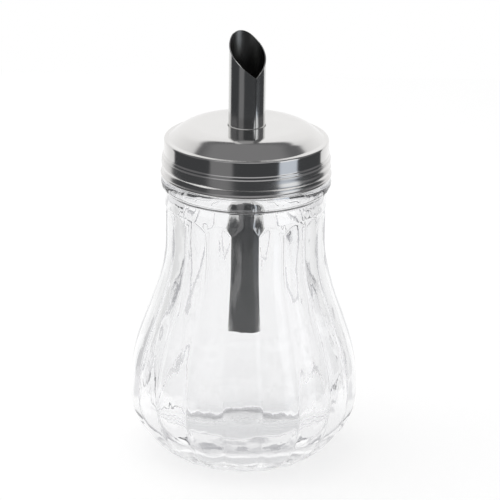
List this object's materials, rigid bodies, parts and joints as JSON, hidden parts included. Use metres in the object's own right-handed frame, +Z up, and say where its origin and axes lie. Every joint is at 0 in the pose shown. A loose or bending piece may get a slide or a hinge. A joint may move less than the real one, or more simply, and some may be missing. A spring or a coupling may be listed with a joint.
{
  "type": "sugar dispenser",
  "caption": "Table sugar dispenser: pear-shaped clear glass jar with rounded lobes, a domed steel screw lid and a steel pour tube with a slanting mouth.",
  "frame": {"origin": "centre of the jar's foot, on the surface it stands on", "axes": "+Z up along the jar's axis to the tip of the pour tube, -Y towards the front, +X to the right of someone facing the front"},
  "size_m": [0.0866, 0.0876, 0.165],
  "materials": {
    "clear_glass": "clear, smooth, fire-polished",
    "lid_steel": "polished stainless steel sheet",
    "tube_steel": "polished stainless steel sheet, rolled"
  },
  "bodies": {
    "root": {"glass_jar": "clear_glass", "screw_lid": "lid_steel", "pour_tube": "tube_steel"}
  },
  "joints": []
}
